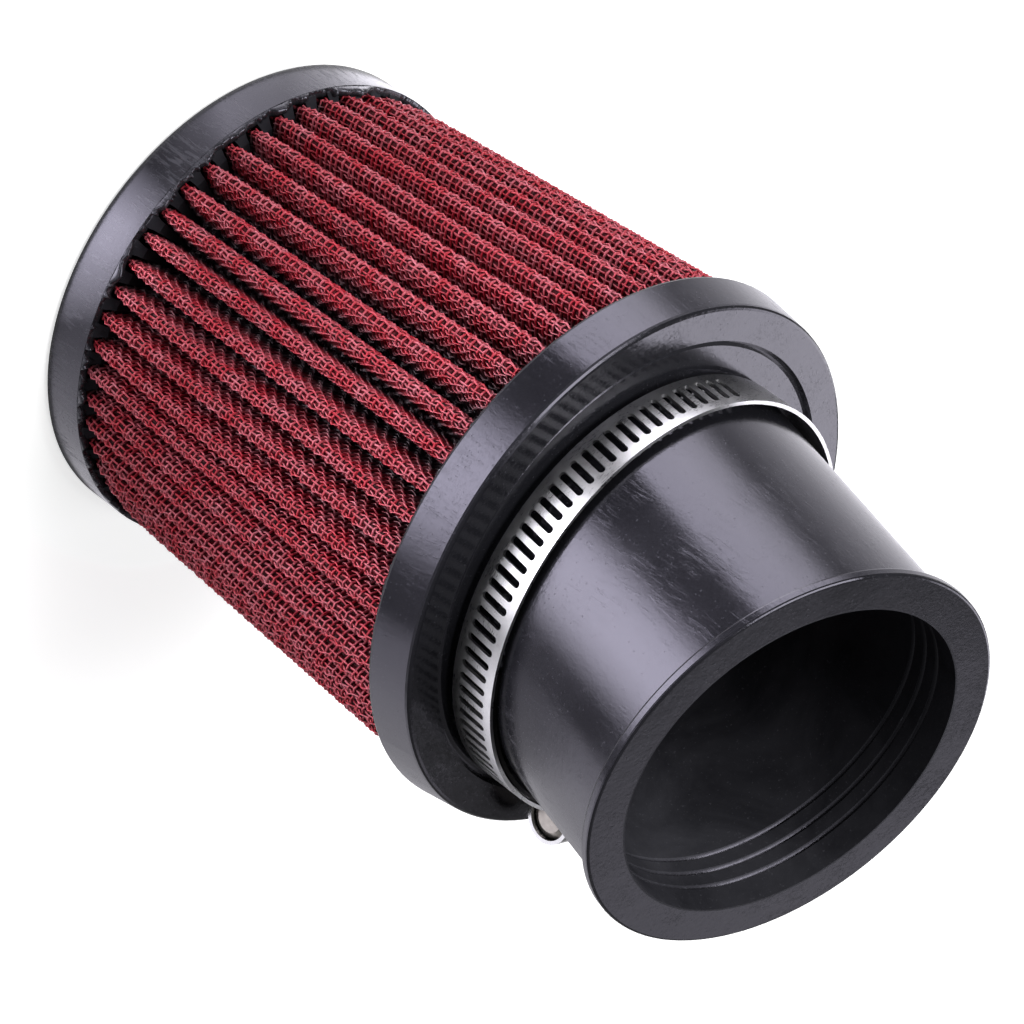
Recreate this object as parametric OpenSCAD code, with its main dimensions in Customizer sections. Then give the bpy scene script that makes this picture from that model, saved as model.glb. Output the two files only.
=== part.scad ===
// Clamp-on cone air filter with an angled rubber neck, standing on its closed end cap.
// Origin: centre of the cap's flat outer face. +Z runs up to the mouth, and the neck leans towards +X.

/* [End cap] */
// Radius of the moulded end cap
cap_r = 44.3; // [42:0.1:48]
// Height of the end cap's side wall
cap_h = 9; // [7:0.5:14]
// Thickness of the cap's closed floor under the pleats
cap_floor = 4.5; // [3:0.5:6]
// Radius that rounds the cap's outer edge
cap_round = 1.4; // [0.5:0.1:2.5]
// Thickness of the cap's rim round the pleats
cap_rim = 1; // [0.6:0.1:2]
// Height of the rubber that rises between the pleats above each rim
pot_rise = 1.6; // [0.5:0.1:3]

/* [Base ring] */
// Height from the cap's outer face to the base ring's front face
body_h = 99.4; // [80:0.1:140]
// Radius of the base ring at its rear edge
ring_rear_r = 50; // [49.5:0.1:56]
// Radius of the base ring at its front edge
ring_front_r = 49; // [46:0.1:54]
// Height of the base ring
ring_h = 8.8; // [7.5:0.1:14]
// Thickness of the base ring's wall round the pleats
ring_rim = 2.3; // [1.2:0.1:3]
// Width of the land between the bore and the pleats
bore_land = 3; // [2.4:0.1:4]
// Depth of the channel that holds the pleats' ends
ring_seat = 4.8; // [3:0.1:5.5]
// Radius of the moulded step on the front face
step_r = 42; // [40.5:0.1:45]
// Depth of the moulded step
step_d = 0.6; // [0.3:0.1:1.2]

/* [Neck] */
// Thickness of the neck's wall
neck_wall = 4.7; // [3.5:0.1:5]
// Angle between the neck and the filter's own axis
neck_tilt = 12.5; // [0:0.5:14]
// Length of the neck along its own axis, from the base ring's front face
neck_len = 49.6; // [35:0.1:80]
// How far the lip at the mouth stands out from the neck
lip_out = 2.2; // [1:0.1:4]
// Thickness of the lip at the mouth
lip_h = 2; // [1.2:0.1:4]
// Number of grip grooves inside the mouth
groove_count = 3; // [0:1:5]
// Spacing of the grip grooves
groove_pitch = 3.4; // [2:0.1:6]
// Depth of each grip groove
groove_d = 0.5; // [0.2:0.1:1]

/* [Pleats] */
// Depth of the pleats, from crest to valley
pleat_depth = 13.6; // [12:0.1:15]
// Spacing of the pleats where the pack is narrowest
pleat_pitch = 5.334; // [5.2:0.01:6.5]
// Turn of the pleat pack round the filter's axis
pleat_turn = -0.9; // [-3.5:0.1:3.5]
// Thickness of the oiled gauze
gauze_t = 0.8; // [0.5:0.05:0.9]
// Thickness of each wire screen
screen_t = 0.25; // [0.15:0.05:0.3]

/* [Clamp] */
// Play of the loose clamp band round the neck
band_play = 0.3; // [0.2:0.05:3]
// Width of the clamp band
band_w = 9; // [8:0.5:10]
// Thickness of the clamp band
band_t = 0.65; // [0.5:0.05:0.8]
// Distance from one slot in the band to the next, and from one worm thread to the next
slot_pitch = 2.55; // [2.4:0.05:2.8]
// Width of each slot
slot_w = 1.3; // [1.2:0.05:1.4]
// Length of each slot
slot_l = 5.8; // [4:0.1:6]
// Angle by which the slots slant
slot_slant = -7; // [-8:0.5:8]
// Direction in which the band's slots start, round the filter from +X
slots_from = 229; // [120:1:240]
// Direction of the screw housing, round the filter from +X
housing_at = 52; // [30:1:70]
// Length of the screw housing
housing_l = 12.5; // [11:0.5:16]
// Wall thickness of the screw housing
housing_t = 0.7; // [0.6:0.1:1]
// Outer radius of the worm thread
worm_r = 3.6; // [3.4:0.1:4.6]
// Depth of the worm thread
worm_d = 1; // [0.8:0.1:1.2]
// How much smaller than the worm the head's corners are, so that the head clears the band's tail
head_drop = 0.35; // [0.3:0.05:1]
// Height of the screw's head
head_h = 4.5; // [3:0.5:6]

/* [Hidden] */
$fn = 96;

// Half-width of a crest as a share of the pitch of the pleats
crest_share = 0.27;
// Slack between the pleats and the moulded channels that hold them
seat_fit = 0.15;
// Slack between one sheet of the pleat pack and the next
sheet_fit = 0.02;
ring_rear_z = body_h - ring_h;
pleat_cap_r = cap_r - cap_rim;
pleat_ring_r = ring_rear_r - ring_rim;
pleat_count = round(2 * PI * min(pleat_cap_r, pleat_ring_r) / pleat_pitch);
// Inner radius of the neck, which slides over a 62 mm pipe
bore_r = pleat_ring_r - pleat_depth - bore_land;
pleat_z0 = cap_floor;
pleat_z1 = ring_rear_z + ring_seat;
pleat_slope = (pleat_ring_r - pleat_cap_r) / (ring_rear_z - cap_h);
neck_r = bore_r + neck_wall;
lip_r = neck_r + lip_out;

// Slack of the band inside the housing, of the worm in its tunnel, and of the journal in the end wall
house_fit = 0.15;
worm_fit = 0.3;
journal_fit = 0.08;
// How far the worm thread reaches into the band's slots
worm_bite = 0.45;
// Slack between the band's two layers where they overlap
layer_gap = 0.3;
root_r = worm_r - worm_d;
journal_r = root_r - 0.3;

// Outer radius of the pleats at height z
function pleat_r(z) = pleat_cap_r + pleat_slope * (z - cap_h);

// Points of an arc, from angle a to angle b
function arc(x, y, r, a, b, n) = [for (i = [0:n]) let (t = a + (b - a) * i / n) [x + r * cos(t), y + r * sin(t)]];

// Turns the point p, given as sideways distance and radius, round the axis to angle a
function round_axis(p, a) = let (t = a + p[0] / p[1] * 180 / PI) [p[1] * cos(t), p[1] * sin(t)];

// One loop of the pleat pack's outer skin at height z: each crest and each valley is a fold of four corners
function pleat_loop(z) =
    let (ro = pleat_r(z), ri = ro - pleat_depth + gauze_t + 2 * screen_t)
    let (half_i = PI * ri / pleat_count, crest = crest_share * 2 * PI * ro / pleat_count)
    let (root = half_i - 0.4)
    let (half = [[0.45 * crest, ro], [crest, ro - 0.9], [root, ri + 0.6], [half_i - 0.16, ri]])
    [for (i = [0:pleat_count - 1]) let (a = pleat_turn + 360 * i / pleat_count)
        each concat([for (k = [3:-1:0]) round_axis([-half[k][0], half[k][1]], a)],
                    [for (k = [0:3]) round_axis(half[k], a)])];

function unit(v) = v / norm(v);

// The loop moved inwards by d, with each corner mitred
function inset_loop(p, d) = let (n = len(p)) [for (i = [0:n - 1])
    let (a = unit(p[i] - p[(i + n - 1) % n]), b = unit(p[(i + 1) % n] - p[i]))
    let (na = [-a[1], a[0]], nb = [-b[1], b[0]])
    p[i] + d * (na + nb) / max(0.6, 1 + na * nb)];

// A pleated sheet between the depths d0 and d1 under the pleat pack's outer skin
module pleated_sheet(d0, d1) {
    low = pleat_loop(pleat_z0);
    high = pleat_loop(pleat_z1);
    n = len(low);
    rings = [inset_loop(low, d0), inset_loop(low, d1), inset_loop(high, d1), inset_loop(high, d0)];
    heights = [pleat_z0, pleat_z0, pleat_z1, pleat_z1];
    points = [for (k = [0:3]) for (p = rings[k]) [p[0], p[1], heights[k]]];
    // Both skins split their four-sided faces along the same diagonal, so that the sheets lie evenly in each other
    faces = [for (k = [0:3]) for (i = [0:n - 1])
        let (j = (i + 1) % n, a = k * n, b = ((k + 1) % 4) * n)
        each (k == 3 ? [[a + i, a + j, b + i], [b + i, a + j, b + j]]
                     : [[a + i, b + j, b + i], [a + i, a + j, b + j]])];
    polyhedron(points = points, faces = faces, convexity = 20);
}

module outer_screen() {
    color("rosybrown") pleated_sheet(0, screen_t);
}

module filter_gauze() {
    color("firebrick") pleated_sheet(screen_t + sheet_fit, screen_t + sheet_fit + gauze_t);
}

module inner_screen() {
    color("silver") pleated_sheet(screen_t + 2 * sheet_fit + gauze_t, 2 * screen_t + 2 * sheet_fit + gauze_t);
}

// Rubber between the pleats, cast with the rim: one wedge in each valley, from z0 to z1, out to radius r. Its free
// end slopes away from the rim's edge at height rim, upwards if way is 1 and downwards if it is -1.
module potting(z0, z1, r, rim, way) {
    low = min(pleat_r(z0), pleat_r(z1));
    high = max(pleat_r(z0), pleat_r(z1));
    inner = high - pleat_depth + gauze_t + 2 * screen_t + 0.8;
    crest = crest_share * 2 * PI * high / pleat_count;
    step = PI / pleat_count;
    tip_w = (high - 1) * step - crest - seat_fit;
    points = [[inner, -0.2], [low - 1, -tip_w], [low, -tip_w - 0.3], [r, -tip_w - 0.3],
              [r, tip_w + 0.3], [low, tip_w + 0.3], [low - 1, tip_w], [inner, 0.2]];
    slope_w = 2.2;
    proud = 0.1;
    steep = (pot_rise - proud) / slope_w;
    root_z = way > 0 ? z0 - 1 : z1 + 1;
    tip_z = rim + way * (pot_rise + steep);
    intersection() {
        for (i = [0:pleat_count - 1]) rotate([0, 0, pleat_turn + 360 * (i + 0.5) / pleat_count])
            translate([0, 0, z0]) linear_extrude(z1 - z0) polygon(points);
        rotate_extrude()
            polygon([[0, root_z], [r + 1, root_z], [r + 1, rim + way * (proud - steep)],
                     [r - slope_w - 1, tip_z], [0, tip_z]]);
    }
}

// Moulded cap that closes the narrow end, with a channel for the pleats
module end_cap() {
    seat_out = pleat_cap_r + seat_fit;
    seat_in = pleat_r(pleat_z0) - pleat_depth - seat_fit;
    color([0.13, 0.13, 0.14]) {
        rotate_extrude()
            polygon(concat([[0, 0]],
                           arc(cap_r - cap_round, cap_round, cap_round, -90, 0, 4),
                           [[cap_r, cap_h], [seat_out, cap_h], [seat_out, cap_floor],
                            [seat_in, cap_floor], [seat_in, cap_h + 1], [0, cap_h + 1]]));
        potting(cap_floor - 0.5, cap_h + pot_rise, seat_out + 0.1, cap_h, 1);
    }
}

// Outline of the base ring: outer wall, stepped front face, and the channel for the pleats
module ring_outline() {
    edge = 0.8;
    seat_out = pleat_r(pleat_z1) + seat_fit;
    seat_in = pleat_ring_r - pleat_depth - seat_fit;
    face_z = body_h - step_d;
    polygon(concat([[bore_r, ring_rear_z], [seat_in, ring_rear_z], [seat_in, pleat_z1],
                    [seat_out, pleat_z1], [seat_out, ring_rear_z]],
                   arc(ring_rear_r - edge, ring_rear_z + edge, edge, -90, 0, 3),
                   arc(ring_front_r - edge, body_h - edge, edge, 0, 90, 3),
                   [[step_r + step_d, body_h], [step_r, face_z - step_d / 2],
                    [step_r - step_d, face_z], [bore_r, face_z]]));
}

// Places its children in the neck's own frame, which leans from the centre of the base ring's front face
module neck_frame() {
    translate([0, 0, body_h]) rotate([0, neck_tilt, 0]) children();
}

// Neck tube with its lip, run down into the base ring and cut off inside it
module neck_tube() {
    sunk = neck_r * sin(neck_tilt) + 4;
    edge = 0.5;
    intersection() {
        neck_frame() rotate_extrude()
            polygon(concat([[bore_r - 1, -sunk], [neck_r, -sunk], [neck_r, neck_len - lip_h - edge],
                            [neck_r + edge, neck_len - lip_h]],
                           arc(lip_r - edge, neck_len - lip_h + edge, edge, -90, 0, 3),
                           arc(lip_r - edge, neck_len - edge, edge, 0, 90, 3),
                           [[bore_r - 1, neck_len]]));
        translate([0, 0, pleat_z1 + 1]) cylinder(h = 2 * neck_len, r = 2 * lip_r);
    }
}

// Grip grooves inside the mouth, each a V as wide as it is deep on either side
module grip_grooves() {
    for (i = [1:groove_count])
        translate([0, 0, neck_len - groove_pitch * (i + 0.6)]) rotate_extrude()
            polygon([[bore_r - groove_d, -2 * groove_d], [bore_r + groove_d, 0], [bore_r - groove_d, 2 * groove_d]]);
}

// Base ring, angled neck and lip, moulded in one piece. The neck's bore runs down into a slightly wider hole
// through the ring, which takes in the whole of the bore's slanted end.
module neck_base() {
    run = bore_r * tan(neck_tilt) + 1.1;
    hole_r = bore_r * cos(neck_tilt) + run * sin(neck_tilt) + 0.2;
    color([0.2, 0.2, 0.23]) difference() {
        union() {
            rotate_extrude() ring_outline();
            neck_tube();
            potting(ring_rear_z - pot_rise, pleat_z1 + 0.5, pleat_r(pleat_z1) + seat_fit + 0.1, ring_rear_z, -1);
        }
        translate([0, 0, ring_rear_z - 1]) cylinder(h = ring_h + 0.2, r = hole_r);
        neck_frame() {
            translate([0, 0, -run]) cylinder(h = neck_len + 2 * run, r = bore_r);
            if (groove_count > 0) grip_grooves();
        }
    }
}

// The band lies round the neck. Its plain inner layer starts as a tongue that reaches start_deg past the housing
// and runs anticlockwise. From wrap_at on, an arc about a shifted centre lifts the slotted part clear of that
// tongue, under the worm and on to its tail.
wrap_back = 201;
wrap_at = housing_at + 360 - wrap_back;
wrap_shift = (band_t + layer_gap) / (1 - cos(wrap_back));
tail_deg = 34;
start_deg = 80;
// The housing's side rests on the base ring, so the band lies this far above the front face
band_lift = housing_t + house_fit + 0.05;
band_z = body_h + band_lift;
// The band goes round the leaning neck at its own middle height
clamp_x = (band_lift + band_w / 2) * tan(neck_tilt);
clamp_y = 1.2;
band_r = neck_r / cos(neck_tilt) + band_w / 2 * tan(neck_tilt) + band_play;
outer_layer_r = band_r + band_t + layer_gap;
worm_axis_r = outer_layer_r + band_t - worm_bite + worm_r;
tunnel_r = worm_r + worm_fit;

// Places its children at the band's middle height, on its axis
module clamp_frame() {
    translate([clamp_x, clamp_y, band_z + band_w / 2]) children();
}

// Places its children in the frame of the band's outer layer
module outer_layer_frame() {
    translate(-wrap_shift * [cos(wrap_at), sin(wrap_at), 0]) children();
}

// A sector of the band, between two angles
module band_sector(r, from, to) {
    rotate([0, 0, from]) rotate_extrude(angle = to - from)
        translate([r, -band_w / 2]) square([band_t, band_w]);
}

// Angle from one slot to the next in an arc of the band with inner radius r
function slot_step(r) = slot_pitch / (r + band_t) * 180 / PI;

// A row of slanted slots with round ends, cut from radius r outwards
module slot_row(r, from, to) {
    flat = slot_l - slot_w;
    for (a = [from:slot_step(r):to]) rotate([0, 0, a]) rotate([slot_slant, 0, 0]) {
        translate([r - 0.05, -slot_w / 2, -flat / 2]) cube([2 * band_t, slot_w, flat]);
        for (s = [-1, 1]) translate([r - 0.05, 0, s * flat / 2])
            rotate([0, 90, 0]) cylinder(h = 2 * band_t, d = slot_w, $fn = 24);
    }
}

// Stainless band with its slots, from its fixed end under the housing to its free tail.
// A small block inside the metal joins the two arcs where they meet.
module clamp_band() {
    over = wrap_at + wrap_back;
    outer_r = band_r + wrap_shift;
    // The slots are counted back from the one under the middle of the worm. Seen from the outer layer's own
    // centre, the worm's middle is a little off the housing's direction.
    under_worm = over - asin(wrap_shift * sin(wrap_back) / (outer_r + band_t));
    first_slot = under_worm - slot_step(outer_r) * floor((under_worm - slots_from) / slot_step(outer_r));
    color([0.75, 0.75, 0.78]) clamp_frame() difference() {
        union() {
            band_sector(band_r, housing_at - start_deg, wrap_at);
            outer_layer_frame() band_sector(outer_r, wrap_at, over + tail_deg);
            rotate([0, 0, wrap_at]) translate([band_r + band_t / 2, 0, 0])
                cube([band_t / 2, band_t, band_w - 2 * band_t], center = true);
        }
        outer_layer_frame() slot_row(outer_r, first_slot, over + tail_deg - 4);
    }
}

// Places its children at the worm's axis, which then runs along Y with the screw's head at +Y
module worm_frame() {
    clamp_frame() rotate([0, 0, housing_at]) translate([worm_axis_r, 0, 0]) children();
}

// Pressed steel housing: a rounded tunnel for the worm over a curved passage for the band's two layers
module clamp_housing() {
    half_w = band_w / 2 + house_fit + housing_t;
    inner_r = band_r - house_fit;
    color([0.7, 0.7, 0.72]) difference() {
        union() {
            worm_frame() rotate([-90, 0, 0]) translate([0, 0, -housing_l / 2])
                cylinder(h = housing_l, r = tunnel_r + housing_t);
            clamp_frame() rotate([0, 0, housing_at])
                translate([inner_r - housing_t - 1, -housing_l / 2, -half_w])
                    cube([outer_layer_r + band_t + house_fit + housing_t - inner_r + housing_t + 1,
                          housing_l, 2 * half_w]);
        }
        clamp_frame() {
            translate([0, 0, -band_w]) cylinder(h = 2 * band_w, r = inner_r - housing_t);
            difference() {
                translate([0, 0, -band_w / 2 - house_fit])
                    cylinder(h = band_w + 2 * house_fit, r = outer_layer_r + band_t + house_fit);
                translate([0, 0, -band_w]) cylinder(h = 2 * band_w, r = inner_r);
            }
        }
        worm_frame() rotate([-90, 0, 0]) {
            translate([0, 0, -housing_l / 2 - 1]) cylinder(h = housing_l + 1 - housing_t, r = tunnel_r);
            cylinder(h = housing_l, r = journal_r + journal_fit);
        }
    }
}

// Worm screw: thread, journal through the housing's end wall, and a hexagonal head with a slot
module clamp_screw() {
    end_gap = 0.2;
    worm_top = housing_l / 2 - housing_t - end_gap;
    worm_low = -housing_l / 2 + 0.4;
    head_low = housing_l / 2 + end_gap;
    head_r = worm_r - head_drop;
    tip = 0.2;
    flank = 0.35;
    bed_r = root_r - 0.3;
    bed = tip + flank * (worm_r - bed_r) / worm_d;
    // Threads lie over the band's slots, as many as the worm has room for on either side of its middle
    low_count = floor((-worm_low - bed) / slot_pitch);
    top_count = floor((worm_top - bed) / slot_pitch);
    color([0.62, 0.6, 0.55]) worm_frame() rotate([-90, 0, 0]) {
        translate([0, 0, worm_low]) cylinder(h = worm_top - worm_low, r = root_r);
        cylinder(h = head_low + 0.4, r = journal_r);
        for (i = [-low_count:top_count]) translate([0, 0, i * slot_pitch]) rotate_extrude()
            polygon([[bed_r, -bed], [worm_r, -tip], [worm_r, tip], [bed_r, bed]]);
        difference() {
            union() {
                translate([0, 0, head_low]) cylinder(h = 0.8, r = head_r - 0.1);
                translate([0, 0, head_low]) cylinder(h = head_h, r = head_r, $fn = 6);
            }
            translate([-head_r, -0.6, head_low + head_h - 1.4]) cube([2 * head_r, 1.2, 2]);
        }
    }
}

end_cap();
neck_base();
filter_gauze();
outer_screen();
inner_screen();
clamp_band();
clamp_housing();
clamp_screw();
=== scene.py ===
"""Looks of the cone air filter: oiled gauze between woven wires, black rubber and a steel hose clamp."""

import math
import random

import bpy
import numpy as np
from mathutils import Matrix, Vector, noise

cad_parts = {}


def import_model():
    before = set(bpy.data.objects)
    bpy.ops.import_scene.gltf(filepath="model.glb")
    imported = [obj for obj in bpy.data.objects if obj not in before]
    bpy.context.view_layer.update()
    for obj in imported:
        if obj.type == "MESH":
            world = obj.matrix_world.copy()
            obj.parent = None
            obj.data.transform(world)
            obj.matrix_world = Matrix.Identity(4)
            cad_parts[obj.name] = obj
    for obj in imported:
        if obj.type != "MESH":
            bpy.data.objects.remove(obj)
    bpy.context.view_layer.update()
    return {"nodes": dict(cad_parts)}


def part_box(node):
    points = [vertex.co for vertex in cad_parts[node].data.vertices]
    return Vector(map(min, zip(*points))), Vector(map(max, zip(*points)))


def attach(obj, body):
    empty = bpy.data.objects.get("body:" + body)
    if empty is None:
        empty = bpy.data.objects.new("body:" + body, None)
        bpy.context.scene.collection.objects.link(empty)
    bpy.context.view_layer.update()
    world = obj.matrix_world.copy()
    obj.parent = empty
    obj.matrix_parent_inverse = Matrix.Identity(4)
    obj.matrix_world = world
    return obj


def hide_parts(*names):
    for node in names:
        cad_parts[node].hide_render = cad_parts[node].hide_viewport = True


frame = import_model()
nodes = frame["nodes"]
rng = random.Random(51)

# Sizes, in metres. The pleats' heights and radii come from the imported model.
MM = 0.001

# The pleats. Half of a crest is a share of the pitch wide, and a part of it is flat.
PLEATS = 51
PLEAT_TURN = math.radians(-0.9)
PLEAT_BEND = 0.35 * MM
CREST_SHARE = 0.205
CREST_FLAT = 0.45
CREST_ROUND = 0.75 * MM
ROOT_ROUND = 0.6 * MM
ROOT_GAP = 0.4 * MM
VALLEY_GAP = 0.16 * MM
SCREEN_T = 0.25 * MM
GAUZE_T = 0.8 * MM

# The rims pinch the crests' ends, over this height, and painted shade darkens them there.
PINCH_RUN = 2.4 * MM
PINCH_DEPTH = 0.9 * MM
PINCH_WIDTH = 0.55
PINCH_SHADE = 0.6
CREST_DEPTH = 0.04

# The woven screen. Hoops run round the filter and ribs run up it. A wire strays by a share of the gap to
# the next one. HOOP_START is the first hoop's height over the rim, in pitches.
WIRES_PER_PLEAT = 20
WIRE_PITCH = 1.385 * MM
HOOP_R = 0.33 * MM
RIB_R = 0.2 * MM
RIB_CROWD = 0.35
WIRE_STRAY = 0.12
HOOP_START = 0.6
SLOW_WAVES = 2.2
QUICK_WAVES = 14.0
SECTORS = 4

# The cloth's mesh. Near the rims its rows lie closer together, at these heights from them, and its outer
# face lies CLOTH_IN inside the screen's.
CLOTH_ROWS = 8
CLOTH_POINTS = 28
CLOTH_ENDS = np.array([0.0, 1.0, 2.2, 3.8, 6.0]) * MM
CLOTH_MIDDLE = 9 * MM
CLOTH_IN = 0.06 * MM

# Where the rubber's finish changes.
CAP_SEAT_R = 43.5 * MM
BORE_R = 31.1 * MM
NECK_FOOT = 99.4 * MM
NECK_LEAN = math.radians(12.5)
RING_UNDERSIDE = 90.5 * MM

# The ragged strips of rubber along the rims: how deep and how high they are, and how far inside the
# part's box they lie. The section runs from outside to inside as (share of the depth, share of the height).
FLASH_STEPS = 1440
FLASH_SECTION = [(0.0, -0.6), (0.0, 0.7), (-0.1, 0.96), (-0.5, 1.0), (-1.0, 0.6), (-1.0, -0.6)]
CAP_FLASH = (1.5 * MM, 1.4 * MM)
CAP_FLASH_IN = 0.06 * MM
RING_FLASH = (1.4 * MM, 0.35 * MM)
RING_FLASH_IN = 0.25 * MM

# The clamp: its middle, its band's outer face, where the covered layer lies, and how its edges are worn.
CLAMP_X = 1.2 * MM
CLAMP_Y = 1.2 * MM
BAND_FACE_R = 38.62 * MM
TONGUE_MIDDLE = math.radians(29)
TONGUE_START = 19 * MM
EDGE_WEAR = 0.2 * MM
EDGE_ANGLE = math.radians(55)

# The camera, worked out from the photograph: where it stands, where it looks, and which way is down in
# the picture.
CAMERA_AT = Vector((0.2675, -0.6453, 0.5387))
CAMERA_LOOK = Vector((-0.31449, 0.77078, -0.55407))
CAMERA_DOWN = Vector((0.62633, 0.60709, 0.48904))
LENS_MM = 175.8
SENSOR_MM = 36.0


def new_object(name, verts, faces, smooth=True):
    """A mesh object in the scene, from its points and faces."""
    mesh = bpy.data.meshes.new(name)
    mesh.from_pydata([tuple(v) for v in verts], [], [tuple(f) for f in faces])
    mesh.validate()
    mesh.update()
    if smooth:
        mesh.polygons.foreach_set("use_smooth", [True] * len(mesh.polygons))
    obj = bpy.data.objects.new(name, mesh)
    bpy.context.scene.collection.objects.link(obj)
    return obj


def dress(obj, material, body="filter"):
    """Gives a piece its finish and, unless it is a part of the imported model, the body it rides on."""
    obj.data.materials.clear()
    obj.data.materials.append(material)
    if obj.name not in nodes:
        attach(obj, body)


# Materials.
def material(name):
    """A new material, its node tree and its shader."""
    mat = bpy.data.materials.new(name)
    mat.use_nodes = True
    tree = mat.node_tree
    return mat, tree, tree.nodes["Principled BSDF"]


def add(tree, kind, **settings):
    """A new node with its settings."""
    node = tree.nodes.new(kind)
    for key, value in settings.items():
        setattr(node, key, value)
    return node


def place(tree, stretch=(1.0, 1.0, 1.0)):
    """The piece's own coordinates, in metres, stretched along its axes."""
    coords = add(tree, "ShaderNodeTexCoord")
    mapping = add(tree, "ShaderNodeMapping")
    mapping.inputs["Scale"].default_value = stretch
    tree.links.new(coords.outputs["Object"], mapping.inputs["Vector"])
    return mapping.outputs["Vector"]


def grain(tree, vector, scale, detail, rough, distortion=0.0):
    """Noise between about 0.2 and 0.8. A scale counts its grains along a metre."""
    node = add(tree, "ShaderNodeTexNoise")
    node.inputs["Scale"].default_value = scale
    node.inputs["Detail"].default_value = detail
    node.inputs["Roughness"].default_value = rough
    node.inputs["Distortion"].default_value = distortion
    tree.links.new(vector, node.inputs["Vector"])
    return node.outputs["Fac"]


def span(tree, value, low, high, out_low, out_high):
    """Takes a value that runs from low to high to one that runs from out_low to out_high, and no farther."""
    node = add(tree, "ShaderNodeMapRange")
    node.inputs["From Min"].default_value = low
    node.inputs["From Max"].default_value = high
    node.inputs["To Min"].default_value = out_low
    node.inputs["To Max"].default_value = out_high
    tree.links.new(value, node.inputs["Value"])
    return node.outputs["Result"]


def math_node(tree, operation, first, second=None):
    """A sum on one or two values, each a number or another node's output."""
    node = add(tree, "ShaderNodeMath", operation=operation)
    for socket, value in zip(node.inputs, (first, second)):
        if value is None:
            continue
        if isinstance(value, (int, float)):
            socket.default_value = value
        else:
            tree.links.new(value, socket)
    return node.outputs["Value"]


def times(tree, first, second):
    return math_node(tree, "MULTIPLY", first, second)


def plus(tree, first, second):
    return math_node(tree, "ADD", first, second)


def ripple(tree, value):
    """Rises from 0 to 1 and falls back over each whole step of the value."""
    return math_node(tree, "ABSOLUTE", math_node(tree, "SINE", times(tree, value, math.pi)))


def ramp(tree, value, stops):
    """Colours along a value from 0 to 1, with stops as (place, colour)."""
    node = add(tree, "ShaderNodeValToRGB")
    band = node.color_ramp
    while len(band.elements) < len(stops):
        band.elements.new(0.5)
    for element, (at, colour) in zip(band.elements, stops):
        element.position = at
        element.color = (*colour, 1.0)
    tree.links.new(value, node.inputs["Fac"])
    return node.outputs["Color"]


def blend(tree, share, first, second):
    """Passes from the first colour to the second as the share goes from 0 to 1."""
    node = add(tree, "ShaderNodeMix", data_type="RGBA")
    tree.links.new(share, node.inputs["Factor"])
    tree.links.new(first, node.inputs[6])
    tree.links.new(second, node.inputs[7])
    return node.outputs[2]


def depth_share(tree, shallow, deep):
    """0 at the pleats' crests and 1 deep in the valleys, read from the mesh."""
    source = add(tree, "ShaderNodeAttribute", attribute_name="depth")
    return span(tree, source.outputs["Fac"], shallow, deep, 0.0, 1.0)


def bump(tree, height, strength, distance, before=None):
    """Relief from a height pattern, laid over the relief before it. The distance is in metres."""
    node = add(tree, "ShaderNodeBump")
    node.inputs["Strength"].default_value = strength
    node.inputs["Distance"].default_value = distance
    tree.links.new(height, node.inputs["Height"])
    if before is not None:
        tree.links.new(before, node.inputs["Normal"])
    return node.outputs["Normal"]


def from_axis(tree, foot, lean):
    """Distance from an axis that stands at a foot point and leans by an angle towards +X."""
    coords = add(tree, "ShaderNodeTexCoord")
    turn = add(tree, "ShaderNodeMapping", vector_type="TEXTURE")
    turn.inputs["Location"].default_value = foot
    turn.inputs["Rotation"].default_value = (0.0, lean, 0.0)
    flat = add(tree, "ShaderNodeVectorMath", operation="MULTIPLY")
    flat.inputs[1].default_value = (1.0, 1.0, 0.0)
    length = add(tree, "ShaderNodeVectorMath", operation="LENGTH")
    tree.links.new(coords.outputs["Object"], turn.inputs["Vector"])
    tree.links.new(turn.outputs["Vector"], flat.inputs[0])
    tree.links.new(flat.outputs["Vector"], length.inputs[0])
    return length.outputs["Value"]


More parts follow.
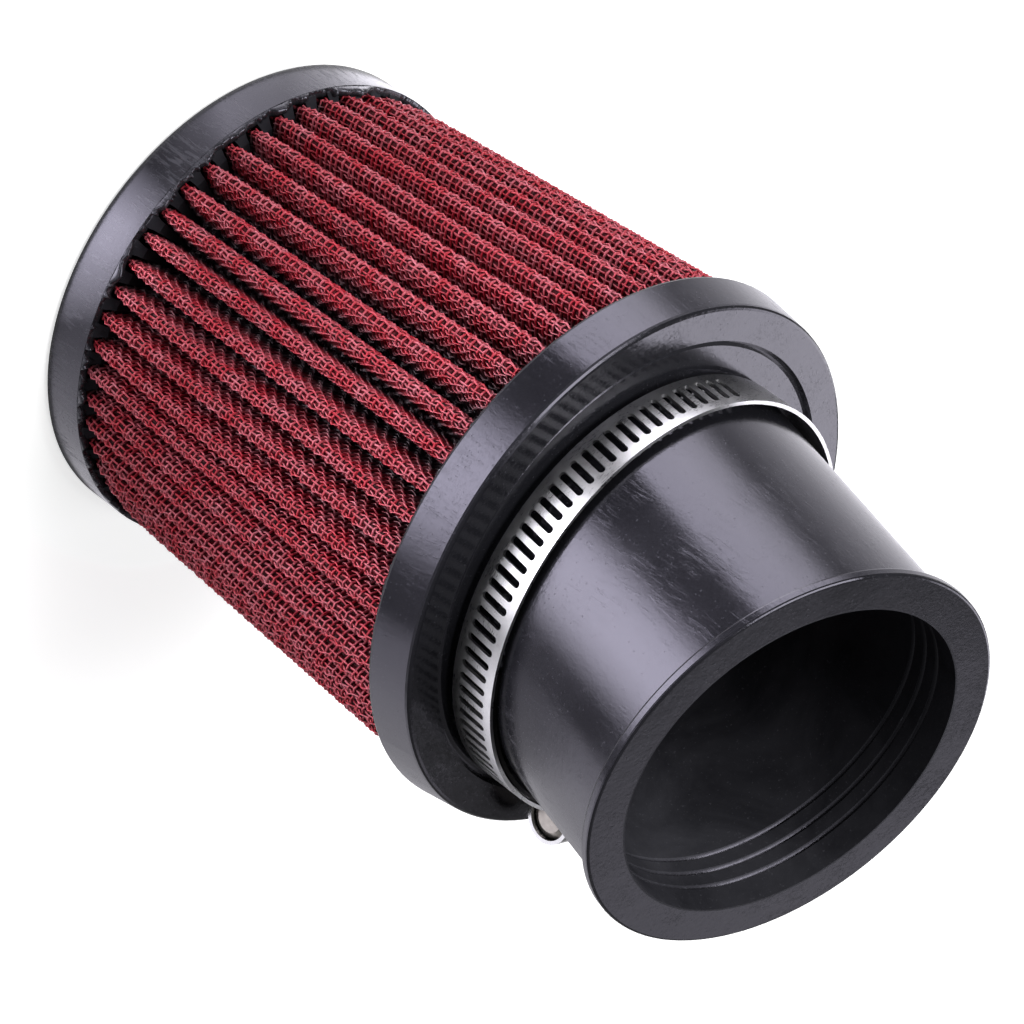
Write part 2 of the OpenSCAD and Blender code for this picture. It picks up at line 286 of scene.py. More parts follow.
def rubber_material(name, dust, brushed, dull, dull_tone, rough, mottle):
    """Moulded black rubber: glossy skin, orange peel, smudges, short scratches and a little dust.

    dull is a function that gives 1 where the rubber never touched the polished mould: between the pleats
    and inside the neck. brushed and mottle say how strong the scratches and the smudges are.
    """
    mat, tree, shader = material(name)
    dull = dull(tree)
    here = place(tree)
    smudge = grain(tree, here, 55.0, 5.0, 0.62, 0.5)
    speckle = grain(tree, here, 1900.0, 2.0, 0.6)
    peel = grain(tree, here, 520.0, 3.0, 0.6)
    strokes = grain(tree, place(tree, (1.0, 1.0, 0.14)), 1300.0, 4.0, 0.7, 0.8)
    rubs = grain(tree, here, 90.0, 3.0, 0.6)
    stroke_share = span(tree, strokes, 0.5, 0.68, 0.0, 1.0)
    rub_share = span(tree, rubs, 0.42, 0.62, 0.0, 1.0)
    shiny = span(tree, dull, 0.0, 1.0, 1.0, 0.0)
    scuff = times(tree, times(tree, stroke_share, rub_share), shiny)
    flecks = span(tree, speckle, 0.64, 0.76, 0.0, 1.0)
    marks = plus(tree, times(tree, scuff, brushed), times(tree, flecks, 0.7))
    tone = plus(tree, span(tree, smudge, 0.3, 0.75, 0.0, mottle), times(tree, marks, 0.6))
    tone = plus(tree, tone, times(tree, dull, dull_tone))
    stops = [
        (0.0, (0.008, 0.008, 0.01)),
        (0.4, (0.013 + dust, 0.013 + dust, 0.016 + dust)),
        (1.0, (0.06, 0.06, 0.07)),
    ]
    tree.links.new(ramp(tree, tone, stops), shader.inputs["Base Color"])
    skin = span(tree, smudge, 0.3, 0.75, rough, 1.9 * rough)
    skin = plus(tree, skin, span(tree, speckle, 0.3, 0.7, -0.03, 0.05))
    skin = plus(tree, skin, times(tree, marks, 0.25))
    skin = plus(tree, skin, times(tree, dull, 0.5))
    tree.links.new(skin, shader.inputs["Roughness"])
    tree.links.new(span(tree, dull, 0.0, 1.0, 0.5, 0.12), shader.inputs["Specular IOR Level"])
    shader.inputs["IOR"].default_value = 1.52
    shader.inputs["Specular Tint"].default_value = (0.86, 0.83, 1.0, 1.0)
    fine = bump(tree, speckle, 0.2, 0.06 * MM)
    skin_bump = bump(tree, peel, 0.35, 0.05 * MM, fine)
    tree.links.new(bump(tree, scuff, 0.4 * brushed, 0.06 * MM, skin_bump), shader.inputs["Normal"])
    return mat


def cap_dull(tree):
    """1 on the cap's rubber between the pleats."""
    from_middle = from_axis(tree, (0.0, 0.0, 0.0), 0.0)
    return span(tree, from_middle, CAP_SEAT_R, CAP_SEAT_R - 0.1 * MM, 0.0, 1.0)


def neck_dull(tree):
    """1 in the neck's bore and on the underside of the base ring, between the pleats."""
    from_neck = from_axis(tree, (0.0, 0.0, NECK_FOOT), NECK_LEAN)
    bore = span(tree, from_neck, BORE_R + 0.4 * MM, BORE_R, 0.0, 1.0)
    level = add(tree, "ShaderNodeSeparateXYZ")
    tree.links.new(place(tree), level.inputs["Vector"])
    under = span(tree, level.outputs["Z"], RING_UNDERSIDE, RING_UNDERSIDE - 0.1 * MM, 0.0, 1.0)
    return math_node(tree, "MAXIMUM", bore, under)


def cloth_material():
    """Oiled cotton gauze, pressed into small pillows between the wires, with painted shade next to the wires
    and deep in the valleys.
    """
    mat, tree, shader = material("red_oiled_gauze")
    coords = add(tree, "ShaderNodeTexCoord")
    split = add(tree, "ShaderNodeSeparateXYZ")
    tree.links.new(coords.outputs["UV"], split.inputs["Vector"])
    along = ripple(tree, split.outputs["X"])
    across = ripple(tree, split.outputs["Y"])
    pillow = math_node(tree, "POWER", times(tree, along, across), 0.5)
    here = place(tree)
    blotch = grain(tree, here, 130.0, 4.0, 0.65)
    threads = grain(tree, place(tree, (1.0, 1.0, 0.35)), 6500.0, 2.0, 0.5)
    # The pillows' part of the tone paints a highlight in each pillow's middle and shade next to the wires.
    tone = plus(tree, times(tree, blotch, 0.55), times(tree, pillow, 0.45))
    crest_colours = [(0.3, (0.01, 0.0002, 0.001)), (0.55, (0.04, 0.001, 0.003)), (0.85, (0.1, 0.002, 0.006))]
    shade = ramp(tree, tone, crest_colours)
    # Deep in the valleys and near the rims the cloth passes to a near black painted shade.
    painted_valley_shade = ramp(tree, tone, [(0.3, (0.004, 0.0005, 0.001)), (0.85, (0.05, 0.002, 0.005))])
    tree.links.new(blend(tree, depth_share(tree, 0.15, 0.75), shade, painted_valley_shade), shader.inputs["Base Color"])
    tree.links.new(span(tree, blotch, 0.3, 0.7, 0.34, 0.6), shader.inputs["Roughness"])
    shader.inputs["Specular IOR Level"].default_value = 0.12
    soft = bump(tree, threads, 0.35, 0.08 * MM)
    tree.links.new(bump(tree, pillow, 0.8, 0.3 * MM, soft), shader.inputs["Normal"])
    return mat


def weave_share(tree):
    """1 on the inner screen's wires and 0 in its gaps, with level hoops and upright ribs."""
    level = add(tree, "ShaderNodeSeparateXYZ")
    tree.links.new(place(tree), level.inputs["Vector"])
    waves = []
    for distance in (level.outputs["Z"], from_axis(tree, (0.0, 0.0, 0.0), 0.0)):
        waves.append(ripple(tree, times(tree, distance, 1.0 / WIRE_PITCH)))
    return span(tree, math_node(tree, "MAXIMUM", *waves), 0.7, 0.85, 0.0, 1.0)


def wire_material(name, red, woven=False):
    """Wire with a red coat and a film of oil: glossy, paler where the coat is rubbed thin.

    woven draws the wires on a plain sheet.
    """
    mat, tree, shader = material(name)
    here = place(tree)
    film_and_shade = grain(tree, here, 260.0, 4.0, 0.7)
    worn = (0.6, 0.2, 0.25)
    coated = (0.48 * red, 0.025, 0.045)
    shade = ramp(tree, film_and_shade, [(0.42, coated), (0.78, worn)])
    # Deep in the valleys and near the rims the wires pass to a dark grey painted shade.
    painted_valley_shade = ramp(tree, film_and_shade, [(0.42, (0.035, 0.013, 0.018)), (0.62, (0.2, 0.16, 0.175))])
    colour = blend(tree, depth_share(tree, 0.16, 0.65), shade, painted_valley_shade)
    if woven:
        wires = weave_share(tree)
        gap = ramp(tree, film_and_shade, [(0.3, (0.01, 0.001, 0.002)), (0.8, (0.06, 0.002, 0.005))])
        colour = blend(tree, wires, gap, colour)
    tree.links.new(colour, shader.inputs["Base Color"])
    shader.inputs["Metallic"].default_value = 0.15
    tree.links.new(span(tree, film_and_shade, 0.3, 0.7, 0.3, 0.46), shader.inputs["Roughness"])
    scratches = grain(tree, here, 5200.0, 2.0, 0.6)
    relief = bump(tree, scratches, 0.2, 0.03 * MM)
    if woven:
        relief = bump(tree, wires, 0.7, 0.3 * MM, relief)
    tree.links.new(relief, shader.inputs["Normal"])
    return mat


def tongue_shade(tree):
    """1 on the band's inner layer under the slotted one, where that gap gets painted shade."""
    coords = place(tree)
    shift = add(tree, "ShaderNodeVectorMath", operation="SUBTRACT")
    shift.inputs[1].default_value = (CLAMP_X, CLAMP_Y, 0.0)
    tree.links.new(coords, shift.inputs[0])
    flat = add(tree, "ShaderNodeVectorMath", operation="MULTIPLY")
    flat.inputs[1].default_value = (1.0, 1.0, 0.0)
    tree.links.new(shift.outputs["Vector"], flat.inputs[0])
    length = add(tree, "ShaderNodeVectorMath", operation="LENGTH")
    tree.links.new(flat.outputs["Vector"], length.inputs[0])
    toward = add(tree, "ShaderNodeVectorMath", operation="DOT_PRODUCT")
    toward.inputs[1].default_value = (math.cos(TONGUE_MIDDLE), math.sin(TONGUE_MIDDLE), 0.0)
    tree.links.new(flat.outputs["Vector"], toward.inputs[0])
    inner = span(tree, length.outputs["Value"], BAND_FACE_R + 0.15 * MM, BAND_FACE_R + 0.1 * MM, 0.0, 1.0)
    near = span(tree, toward.outputs["Value"], TONGUE_START, TONGUE_START + 1.0 * MM, 0.0, 1.0)
    return times(tree, inner, near)


def steel_material(name, tone, rough, stretch, shaded=None, tint=(1.0, 1.0, 1.01)):
    """Rolled stainless steel: fine lines along the strip, faint marks from handling.

    shaded is a function that gives 1 where painted shade darkens it.
    """
    mat, tree, shader = material(name)
    lines = grain(tree, place(tree, stretch), 900.0, 4.0, 0.6)
    marks = grain(tree, place(tree), 160.0, 4.0, 0.7, 0.3)
    full = tuple(tone * part for part in tint)
    shade = ramp(tree, marks, [(0.3, tuple(0.8 * part for part in full)), (0.7, full)])
    line_finish = span(tree, lines, 0.3, 0.7, rough * 0.7, rough * 1.2)
    finish = plus(tree, line_finish, span(tree, marks, 0.4, 0.8, 0.0, 0.1))
    if shaded is not None:
        gap_shade = shaded(tree)
        # The layer under the slotted one gets a dark painted shade.
        film_and_shade = ramp(tree, marks, [(0.3, (0.01, 0.01, 0.011)), (0.7, (0.045, 0.042, 0.042))])
        shade = blend(tree, gap_shade, shade, film_and_shade)
        finish = plus(tree, finish, times(tree, gap_shade, 0.25))
    tree.links.new(shade, shader.inputs["Base Color"])
    shader.inputs["Metallic"].default_value = 1.0
    tree.links.new(finish, shader.inputs["Roughness"])
    first = bump(tree, lines, 0.12, 0.03 * MM)
    tree.links.new(bump(tree, marks, 0.12, 0.12 * MM, first), shader.inputs["Normal"])
    return mat


cap_rubber = rubber_material(
    "cap_black_rubber", dust=0.003, brushed=1.8, dull=cap_dull, dull_tone=0.0, rough=0.15, mottle=0.7
)
neck_rubber = rubber_material(
    "neck_black_rubber", dust=0.0, brushed=0.5, dull=neck_dull, dull_tone=0.4, rough=0.1, mottle=0.4
)
red_cloth = cloth_material()
outer_wire = wire_material("oiled_wire", red=1.0)
inner_wire = wire_material("inner_oiled_wire", red=0.6, woven=True)
band_steel = steel_material(
    "band_rolled_steel", tone=0.62, rough=0.32, stretch=(1.0, 1.0, 9.0), shaded=tongue_shade
)
housing_steel = steel_material("housing_pressed_steel", tone=0.72, rough=0.24, stretch=(1.0, 1.0, 1.0))
screw_steel = steel_material(
    "screw_plated_steel", tone=0.45, rough=0.3, stretch=(1.0, 1.0, 1.0), tint=(1.0, 0.93, 0.86)
)


# The pleated sheets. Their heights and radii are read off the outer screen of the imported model.
def ring_radii(node):
    """A pleated node's lower and upper end, each as (height, largest radius, smallest radius)."""
    co = np.array([v.co for v in nodes[node].data.vertices])
    radius = np.hypot(co[:, 0], co[:, 1])
    ends = []
    for z in (co[:, 2].min(), co[:, 2].max()):
        level = np.abs(co[:, 2] - z) < 0.05 * MM
        ends.append((z, radius[level].max(), radius[level].min()))
    return ends


(low_z, low_out, low_in), (high_z, high_out, high_in) = ring_radii("outer_screen")


def rim_level(node, highest):
    """Height of a moulded rim: the last point of the part's outermost wall."""
    co = np.array([v.co for v in nodes[node].data.vertices])
    radius = np.hypot(co[:, 0], co[:, 1])
    wall = co[radius > radius.max() - 0.3 * MM, 2]
    return wall.max() if highest else wall.min()


cap_rim_z = rim_level("end_cap", highest=True)
ring_rim_z = rim_level("neck_base", highest=False)


def half_pleat(r_out, r_in, narrow):
    """Half of a pleat's outer face, from the crest's middle to the valley's, as (sideways, radius)."""
    crest = narrow * CREST_SHARE * 2 * math.pi * r_out / PLEATS
    half_in = math.pi * r_in / PLEATS
    return [
        (0.0, r_out),
        (CREST_FLAT * crest, r_out),
        (crest, r_out - CREST_ROUND),
        (half_in - ROOT_GAP, r_in + ROOT_ROUND),
        (half_in - VALLEY_GAP, r_in),
        (half_in, r_in),
    ]


def cut_corners(points, rounds):
    """Rounds the corners of an open line and keeps its ends."""
    line = np.array(points)
    for _ in range(rounds):
        near = line[:-1] * 0.75 + line[1:] * 0.25
        far = line[:-1] * 0.25 + line[1:] * 0.75
        mixed = np.empty((2 * len(near), 2))
        mixed[0::2] = near
        mixed[1::2] = far
        line = np.vstack([line[:1], mixed, line[-1:]])
    return line


pleat_bends = np.array([rng.uniform(-1.0, 1.0) for _ in range(PLEATS)])


def pleat_ring(z, shares, inward=0.0):
    """Places round the whole pleated sheet at height z, and their outward normals.

    shares has one row for each pleat: how far along it each place lies, from one crest's middle to the
    next.
    """
    up = (z - low_z) / (high_z - low_z)
    # The cast rims pinch the crests' ends.
    pinch = math.exp(-max(z - cap_rim_z, 0.0) / PINCH_RUN)
    pinch += math.exp(-max(ring_rim_z - z, 0.0) / PINCH_RUN)
    r_out = low_out + up * (high_out - low_out) - PINCH_DEPTH * pinch
    r_in = low_in + SCREEN_T + up * (high_in - low_in)
    half = cut_corners(half_pleat(r_out, r_in, 1.0 - PINCH_WIDTH * pinch), 2)
    angle = half[:, 0] / half[:, 1]
    angle = np.concatenate([angle, 2 * math.pi / PLEATS - angle[-2::-1]])
    radius = np.concatenate([half[:, 1], half[-2::-1, 1]])
    line = np.stack([radius * np.cos(angle), radius * np.sin(angle)], axis=1)
    run = np.concatenate([[0.0], np.cumsum(np.hypot(*np.diff(line, axis=0).T))])
    x = np.interp(shares * run[-1], run, line[:, 0])
    y = np.interp(shares * run[-1], run, line[:, 1])
    bend = pleat_bends * PLEAT_BEND / r_out * math.sin(math.pi * up)
    # Each crest sways a little to one side. Between two crests the sway passes from one to the other.
    sway = bend[:, None] * (1.0 - shares) + np.roll(bend, -1)[:, None] * shares
    theta = np.arange(PLEATS)[:, None] * 2 * math.pi / PLEATS + PLEAT_TURN + sway
    x_turned = x * np.cos(theta) - y * np.sin(theta)
    y_turned = x * np.sin(theta) + y * np.cos(theta)
    xy = np.stack([x_turned, y_turned], axis=-1).reshape(-1, 2)
    ahead = np.roll(xy, -1, axis=0) - np.roll(xy, 1, axis=0)
    ahead /= np.linalg.norm(ahead, axis=1)[:, None]
    out = np.stack([ahead[:, 1], -ahead[:, 0]], axis=1)
    depth = np.clip((r_out - np.hypot(xy[:, 0], xy[:, 1])) / (r_out - r_in), 0.0, 1.0)
    # Near the rims the valleys get more painted shade.
    depth += PINCH_SHADE * pinch * (depth > CREST_DEPTH)
    return xy - out * inward, out, depth


def store_depth(mesh, values):
    """Keeps how deep each point lies in its valley, raised near the rims, for the materials' painted shade.
    """
    layer = mesh.attributes.new("depth", "FLOAT", "POINT")
    layer.data.foreach_set("value", values)


def tubes(lines, radius, across):
    """Three-sided wires along many lines at once. lines has the shape (wires, points, 3)."""
    sides = 3
    ahead = np.empty_like(lines)
    ahead[:, 1:-1] = lines[:, 2:] - lines[:, :-2]
    ahead[:, 0] = lines[:, 1] - lines[:, 0]
    ahead[:, -1] = lines[:, -1] - lines[:, -2]
    ahead /= np.linalg.norm(ahead, axis=2)[..., None]
    first = np.cross(ahead, across)
    first /= np.linalg.norm(first, axis=2)[..., None]
    second = np.cross(ahead, first)
    rings = []
    for k in range(sides):
        turn = 2 * math.pi * k / sides
        rings.append(lines + radius * (math.cos(turn) * first + math.sin(turn) * second))
    verts = np.stack(rings, axis=2)
    wires, points = lines.shape[:2]
    index = np.arange(wires * points * sides).reshape(wires, points, sides)
    a = index[:, :-1, :]
    b = index[:, 1:, :]
    a_next = np.roll(a, -1, axis=2)
    b_next = np.roll(b, -1, axis=2)
    faces = np.stack([a, a_next, b_next, b], axis=-1).reshape(-1, 4)
    return verts.reshape(-1, 3), faces


def round_noise(count, rate, level):
    """Smooth random heights at places round a circle."""
    heights = []
    for t in np.linspace(0, 2 * math.pi, count):
        heights.append(noise.noise(Vector((math.cos(t) * rate, math.sin(t) * rate, level))))
    return np.array(heights)


def wire_screen():
    """The woven outer screen, in sectors, with every wire passing over and under the ones it crosses."""
    rows = int((ring_rim_z - cap_rim_z) / WIRE_PITCH)
    hoop_stray = np.array([rng.gauss(0.0, WIRE_STRAY) for _ in range(rows)])
    heights = cap_rim_z + (np.arange(rows) + HOOP_START + hoop_stray) * WIRE_PITCH
    per_ring = PLEATS * WIRES_PER_PLEAT
    rib_stray = np.array([rng.gauss(0.0, WIRE_STRAY) for _ in range(per_ring)])
    rib_stray = rib_stray.reshape(PLEATS, WIRES_PER_PLEAT)
    even = (np.arange(WIRES_PER_PLEAT)[None, :] + 0.5 + rib_stray) / WIRES_PER_PLEAT
    # Folding draws the upright wires together at the crests.
    shares = even - RIB_CROWD * np.sin(2 * math.pi * even) / (2 * math.pi)
    grid = np.empty((rows, per_ring, 3))
    out = np.empty((rows, per_ring, 3))
    depth = np.empty((rows, per_ring))
    # The hoops rise and fall a little on their way round.
    slow = round_noise(per_ring, SLOW_WAVES, 0.3)
    quick = round_noise(per_ring, QUICK_WAVES, 5.0)
    lift = (0.5 * slow + 0.25 * quick) * WIRE_PITCH
    lift -= np.linspace(0.0, lift[-1] - lift[0], per_ring)
    # The grid holds the places where the wires cross.
    for j, z in enumerate(heights):
        xy, normal, depth[j] = pleat_ring(z, shares)
        grid[j, :, :2] = xy
        grid[j, :, 2] = z + lift
        out[j, :, :2] = normal
        out[j, :, 2] = 0.0
    # Each wire passes over one neighbour and under the next, so the ways alternate as on a chessboard.
    way = (np.arange(rows)[:, None] + np.arange(per_ring)[None, :]) % 2 * 2 - 1
    swing = out * way[..., None]
    # The ribs swing round the thick hoops, and the hoops bend only a little.
    ribs = grid + swing * HOOP_R
    hoops = grid - swing * RIB_R * 0.5
    edges = np.linspace(0, PLEATS, SECTORS + 1).astype(int) * WIRES_PER_PLEAT
    for sector in range(SECTORS):
        first = edges[sector]
        last = edges[sector + 1]
        columns = np.arange(first, last)
        run = np.arange(first, last + 1) % per_ring
        rib_across = out[:, columns].transpose(1, 0, 2)
        rib_verts, rib_faces = tubes(ribs[:, columns].transpose(1, 0, 2), RIB_R, rib_across)
        hoop_verts, hoop_faces = tubes(hoops[:, run], HOOP_R, out[:, run])
        verts = np.vstack([rib_verts, hoop_verts])
        faces = np.vstack([rib_faces, hoop_faces + len(rib_verts)])
        mesh = bpy.data.meshes.new(f"wire_screen_{sector + 1}")
        mesh.from_pydata(verts.tolist(), [], faces.tolist())
        mesh.polygons.foreach_set("use_smooth", [True] * len(mesh.polygons))
        mesh.update()
        deep = np.concatenate([depth[:, columns].T.ravel(), depth[:, run].ravel()])
        store_depth(mesh, np.repeat(deep, len(verts) // len(deep)))
        piece = bpy.data.objects.new(mesh.name, mesh)
        bpy.context.scene.collection.objects.link(piece)
        dress(piece, outer_wire)
        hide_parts("outer_screen")


def gauze_cloth():
    """The pleated cloth between the screens, as one sheet with its thickness.

    Its texture map counts the wires that press on it.
    """
    per_ring = PLEATS * CLOTH_POINTS
    shares = np.tile(np.arange(CLOTH_POINTS) / CLOTH_POINTS, (PLEATS, 1))
    low_rows = cap_rim_z + CLOTH_ENDS
    middle = np.linspace(cap_rim_z + CLOTH_MIDDLE, ring_rim_z - CLOTH_MIDDLE, CLOTH_ROWS)
    high_rows = (ring_rim_z - CLOTH_ENDS)[::-1]
    heights = np.concatenate([[low_z], low_rows, middle, high_rows, [high_z]])
    rings = []
    deep = []
    for inward in (CLOTH_IN, SCREEN_T + GAUZE_T):
        for z in heights:
            xy, _, depth = pleat_ring(z, shares, inward)
            deep.append(depth)
            rings.append(np.column_stack([xy, np.full(per_ring, z)]))
    verts = np.vstack(rings)
    faces = []
    uvs = []
    wires = WIRES_PER_PLEAT / CLOTH_POINTS
    for skin in range(2):
        for j in range(len(heights) - 1):
            row = (skin * len(heights) + j) * per_ring
            v_low = (heights[j] - cap_rim_z) / WIRE_PITCH
            v_high = (heights[j + 1] - cap_rim_z) / WIRE_PITCH
            for k in range(per_ring):
                k2 = (k + 1) % per_ring
                face = (row + k, row + k2, row + per_ring + k2, row + per_ring + k)
                left = k * wires + 0.5
                corner = [(left, v_low), (left + wires, v_low), (left + wires, v_high), (left, v_high)]
                if skin:
                    face = face[::-1]
                    corner = corner[::-1]
                faces.append(face)
                uvs.extend(corner)
    inner = len(heights) * per_ring
    for row, flip in ((0, False), ((len(heights) - 1) * per_ring, True)):
        for k in range(per_ring):
            k2 = (k + 1) % per_ring
            face = (row + k, row + inner + k, row + inner + k2, row + k2)
            faces.append(face[::-1] if flip else face)
            uvs.extend([(0.0, 0.0)] * 4)
    cloth = new_object("gauze_cloth", verts, faces)
    store_depth(cloth.data, np.concatenate(deep))
    layer = cloth.data.uv_layers.new(name="wires")
    layer.data.foreach_set("uv", np.array(uvs).ravel())
    dress(cloth, red_cloth)
    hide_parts("filter_gauze")


def flash_strip(name, rubber, outer_r, size, z, way):
    """The ragged edge that the mould leaves along a rim, way = 1 above it and -1 below it."""
    depth, tall = size
    # The height has slow waves, quick waves and a few spikes.
    rough = []
    for k in range(FLASH_STEPS):
        t = 2 * math.pi * k / FLASH_STEPS
        at = Vector((math.cos(t), math.sin(t), z * 30))
        slow = noise.noise(at * 5.0)
        quick = noise.noise(at * 24.0)
        spike = max(0.0, noise.noise(at * 70.0) - 0.15)
        rough.append(max(0.02, 0.35 + 1.2 * slow + 0.9 * quick + 1.4 * spike))
    verts = []
    for k in range(FLASH_STEPS):
        t = 2 * math.pi * k / FLASH_STEPS
        for inward, level in FLASH_SECTION:
            r = outer_r + inward * depth
            rise = level * rough[k] * tall if level > 0 else level * tall
            verts.append((r * math.cos(t), r * math.sin(t), z + way * rise))
    n = len(FLASH_SECTION)
    faces = []
    for k in range(FLASH_STEPS):
        a = k * n
        b = ((k + 1) % FLASH_STEPS) * n
        for m in range(n):
            m2 = (m + 1) % n
            face = (a + m, b + m, b + m2, a + m2)
            faces.append(face if way > 0 else face[::-1])
    dress(new_object(name, verts, faces), rubber)


wire_screen()
gauze_cloth()
cap_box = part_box("end_cap")
ring_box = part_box("neck_base")
cap_edge_r = cap_box[1].x - CAP_FLASH_IN
ring_edge_r = ring_box[1].y - RING_FLASH_IN
flash_strip("cap_flash", cap_rubber, cap_edge_r, CAP_FLASH, cap_rim_z, way=1)
flash_strip("ring_flash", neck_rubber, ring_edge_r, RING_FLASH, ring_rim_z, way=-1)

dress(nodes["end_cap"], cap_rubber)
dress(nodes["neck_base"], neck_rubber)
dress(nodes["inner_screen"], inner_wire)
dress(nodes["clamp_band"], band_steel)
dress(nodes["clamp_housing"], housing_steel)
dress(nodes["clamp_screw"], screw_steel)
for steel_part in ("clamp_band", "clamp_housing"):
    edges = nodes[steel_part].modifiers.new("worn_edges", "BEVEL")
    edges.width = EDGE_WEAR
    edges.segments = 2
    edges.limit_method = "ANGLE"
    edges.angle_limit = EDGE_ANGLE
    edges.use_clamp_overlap = True


# The stage: floor, world, lamps and the camera. The lists pair a direction, as the azimuth of a camera
# standing there, with the light from that side of the floor. NEAR_LIGHT lies close to the cap. FAR_LIGHT
# lies farther out and has two lights for each direction, the inner and the outer. A reach pairs each radius
# of a card with the place of its light in those lines.
NEAR_LIGHT = [
    (-180, 0.8), (-100, 1.5), (-66, 3.0), (-56, 3.4), (-46, 2.3), (-30, 1.8), (-11, 3.1), (-3, 1.4),
    (8, 0.5), (12, 0.45), (17, 3.3), (27, 8.6), (33, 8.2), (43, 4.9), (55, 0.8), (70, 1.3), (110, 1.2),
    (180, 0.8),
]
FAR_LIGHT = [
    (-180, 0.4, 0.4), (-150, 1.3, 1.3), (-110, 1.4, 1.4), (-90, 1.0, 1.0), (-72, 0.5, 0.5), (-66, 1.4, 1.4),
    (-58, 4.0, 4.0), (-46, 5.7, 5.7), (-27, 6.0, 6.0), (-22, 0.3, 0.3), (-6, 0.25, 0.25), (3, 0.5, 0.5),
    (9, 3.6, 3.6), (18, 8.2, 8.2), (26, 9.2, 9.2), (38, 9.2, 9.2), (48, 7.0, 7.0), (60, 2.3, 2.3),
    (67, 0.5, 0.4), (83, 0.35, 0.3), (92, 0.7, 1.7), (115, 0.6, 1.7), (140, 0.4, 1.0), (180, 0.4, 0.4),
]
NEAR_REACH = ((0.0455, 1), (0.056, 1))
FAR_REACH = ((0.126, 1), (0.148, 1), (0.158, 2), (0.42, 2))
CARD_STEPS = 720
CARD_LIFT = 0.6 * MM
CARD_TINT = (0.95, 0.93, 1.0)
BACK_CARD_Y = 0.63
AMBIENT = 0.18
LAMP_AIM = Vector((0.0, 0.0, 0.07))

# The floor's tone, and the light that the camera sees on it, so that it looks white and keeps the shadow.
FLOOR_HALF = 3.0
FLOOR_TONE = 0.8
FLOOR_LIFT = 0.68


def empty_tree(mat):
    """The material's node tree with nothing but its output, and that output."""
    mat.use_nodes = True
    mat.node_tree.nodes.clear()
    return mat.node_tree, mat.node_tree.nodes.new("ShaderNodeOutputMaterial")


def glow(name, colour, strength):
    """A material that shines on its front. Its back gives no more light than the world does."""
    mat = bpy.data.materials.new(name)
    tree, out = empty_tree(mat)
    light = tree.nodes.new("ShaderNodeEmission")
    light.inputs["Color"].default_value = (*colour, 1.0)
    light.inputs["Strength"].default_value = strength
    behind = tree.nodes.new("ShaderNodeEmission")
    behind.inputs["Strength"].default_value = AMBIENT
    side = tree.nodes.new("ShaderNodeNewGeometry")
    mix = tree.nodes.new("ShaderNodeMixShader")
    tree.links.new(side.outputs["Backfacing"], mix.inputs["Fac"])
    tree.links.new(light.outputs["Emission"], mix.inputs[1])
    tree.links.new(behind.outputs["Emission"], mix.inputs[2])
    tree.links.new(mix.outputs["Shader"], out.inputs["Surface"])
    return mat, light


def floor():
    """The white floor."""
    half = FLOOR_HALF
    corners = [(-half, -half, 0), (half, -half, 0), (half, half, 0), (-half, half, 0)]
    obj = new_object("floor", corners, [(0, 1, 2, 3)], smooth=False)
    mat = bpy.data.materials.new("white_floor")
    tree, out = empty_tree(mat)
    matt = tree.nodes.new("ShaderNodeBsdfDiffuse")
    matt.inputs["Color"].default_value = (FLOOR_TONE, FLOOR_TONE, FLOOR_TONE, 1.0)
    light = tree.nodes.new("ShaderNodeEmission")
    path = tree.nodes.new("ShaderNodeLightPath")
    lift = times(tree, path.outputs["Is Camera Ray"], FLOOR_LIFT)
    both = tree.nodes.new("ShaderNodeAddShader")
    tree.links.new(lift, light.inputs["Strength"])
    tree.links.new(matt.outputs["BSDF"], both.inputs[0])
    tree.links.new(light.outputs["Emission"], both.inputs[1])
    tree.links.new(both.outputs["Shader"], out.inputs["Surface"])
    obj.data.materials.append(mat)


def bare_card(name, verts, faces, mat):
    """A lit card that the camera doesn't see and that casts no shadow."""
    card = new_object(name, verts, faces, smooth=False)
    card.data.materials.append(mat)
    card.visible_camera = False
    card.visible_shadow = False
    card.visible_transmission = False
    return card


def ring_card(name, reach, light):
    """One ring on the floor round the part, whose light changes with the direction."""
    table = np.array(light)
    verts = []
    levels = []
    for r, column in reach:
        for k in range(CARD_STEPS):
            azimuth = 360.0 * k / CARD_STEPS - 180.0
            a = math.radians(azimuth)
            verts.append((r * math.sin(a), -r * math.cos(a), CARD_LIFT))
            levels.append(np.interp(azimuth, table[:, 0], table[:, column]))
    faces = []
    for ring in range(len(reach) - 1):
        for k in range(CARD_STEPS):
            a = ring * CARD_STEPS + k
            b = ring * CARD_STEPS + (k + 1) % CARD_STEPS
            faces.append((a, a + CARD_STEPS, b + CARD_STEPS, b))
    mat, front = glow(name, (1.0, 1.0, 1.0), 1.0)
    source = add(mat.node_tree, "ShaderNodeAttribute", attribute_name="light")
    mat.node_tree.links.new(source.outputs["Color"], front.inputs["Color"])
    card = bare_card(name, verts, faces, mat)
    layer = card.data.color_attributes.new("light", "FLOAT_COLOR", "POINT")
    tint = np.array(CARD_TINT)
    for spot, level in zip(layer.data, levels):
        spot.color = (*(tint * level), 1.0)


def back_card(name, x_low, x_high, z_low, z_high, strength):
    """An upright lit card behind the part, facing it."""
    y = BACK_CARD_Y
    verts = [(x_low, y, z_low), (x_high, y, z_low), (x_high, y, z_high), (x_low, y, z_high)]
    mat, _ = glow(name, CARD_TINT, strength)
    bare_card(name, verts, [(0, 1, 2, 3)], mat)


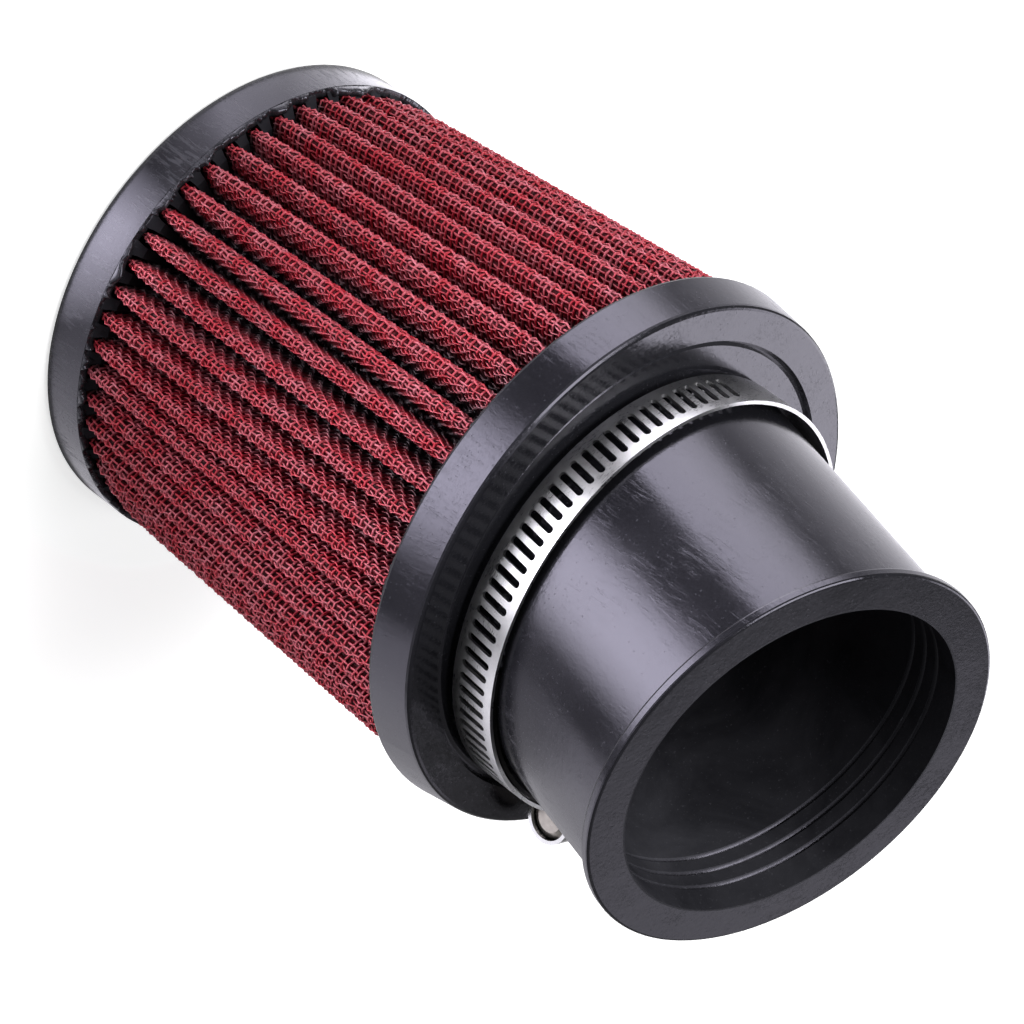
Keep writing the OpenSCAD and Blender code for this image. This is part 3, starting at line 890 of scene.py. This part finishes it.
def area_lamp(name, azimuth, elevation, distance, size, power):
    """A lamp that shines at the part's middle from a direction."""
    a = math.radians(azimuth)
    e = math.radians(elevation)
    away = Vector((math.sin(a) * math.cos(e), -math.cos(a) * math.cos(e), math.sin(e)))
    lamp = bpy.data.lights.new(name, "AREA")
    lamp.shape = "RECTANGLE"
    lamp.size, lamp.size_y = size
    lamp.energy = power
    obj = bpy.data.objects.new(name, lamp)
    bpy.context.scene.collection.objects.link(obj)
    obj.location = LAMP_AIM + away * distance
    obj.rotation_euler = (-away).to_track_quat("-Z", "Y").to_euler()
    obj.visible_camera = False


def world():
    """A white background for the camera, and a faint light from all round for everything else."""
    w = bpy.data.worlds.new("studio")
    bpy.context.scene.world = w
    w.use_nodes = True
    tree = w.node_tree
    tree.nodes.clear()
    out = tree.nodes.new("ShaderNodeOutputWorld")
    seen = tree.nodes.new("ShaderNodeBackground")
    seen.inputs["Color"].default_value = (1.0, 1.0, 1.0, 1.0)
    seen.inputs["Strength"].default_value = 1.0
    ambient = tree.nodes.new("ShaderNodeBackground")
    ambient.inputs["Color"].default_value = (1.0, 1.0, 1.0, 1.0)
    ambient.inputs["Strength"].default_value = AMBIENT
    path = tree.nodes.new("ShaderNodeLightPath")
    mix = tree.nodes.new("ShaderNodeMixShader")
    tree.links.new(path.outputs["Is Camera Ray"], mix.inputs["Fac"])
    tree.links.new(ambient.outputs["Background"], mix.inputs[1])
    tree.links.new(seen.outputs["Background"], mix.inputs[2])
    tree.links.new(mix.outputs["Shader"], out.inputs["Surface"])


def camera():
    """The photograph's camera."""
    data = bpy.data.cameras.new("camera")
    data.lens = LENS_MM
    data.sensor_width = SENSOR_MM
    data.clip_start = 0.01
    obj = bpy.data.objects.new("camera", data)
    bpy.context.scene.collection.objects.link(obj)
    back = -CAMERA_LOOK.normalized()
    up = -CAMERA_DOWN
    right = up.cross(back).normalized()
    up = back.cross(right)
    turn = Matrix((right, up, back)).transposed().to_4x4()
    obj.matrix_world = Matrix.Translation(CAMERA_AT) @ turn
    bpy.context.scene.camera = obj


floor()
ring_card("near_ring_card", NEAR_REACH, NEAR_LIGHT)
ring_card("far_ring_card", FAR_REACH, FAR_LIGHT)
back_card("back_card_bright", x_low=-0.8, x_high=-0.28, z_low=0.3, z_high=0.9, strength=3.5)
back_card("back_card_dim", x_low=-0.14, x_high=0.15, z_low=0.42, z_high=0.62, strength=1.0)
area_lamp("top_panel", azimuth=-40.0, elevation=62.0, distance=1.0, size=(0.7, 0.7), power=12.0)
world()
camera()

bpy.context.scene.view_settings.view_transform = "Standard"
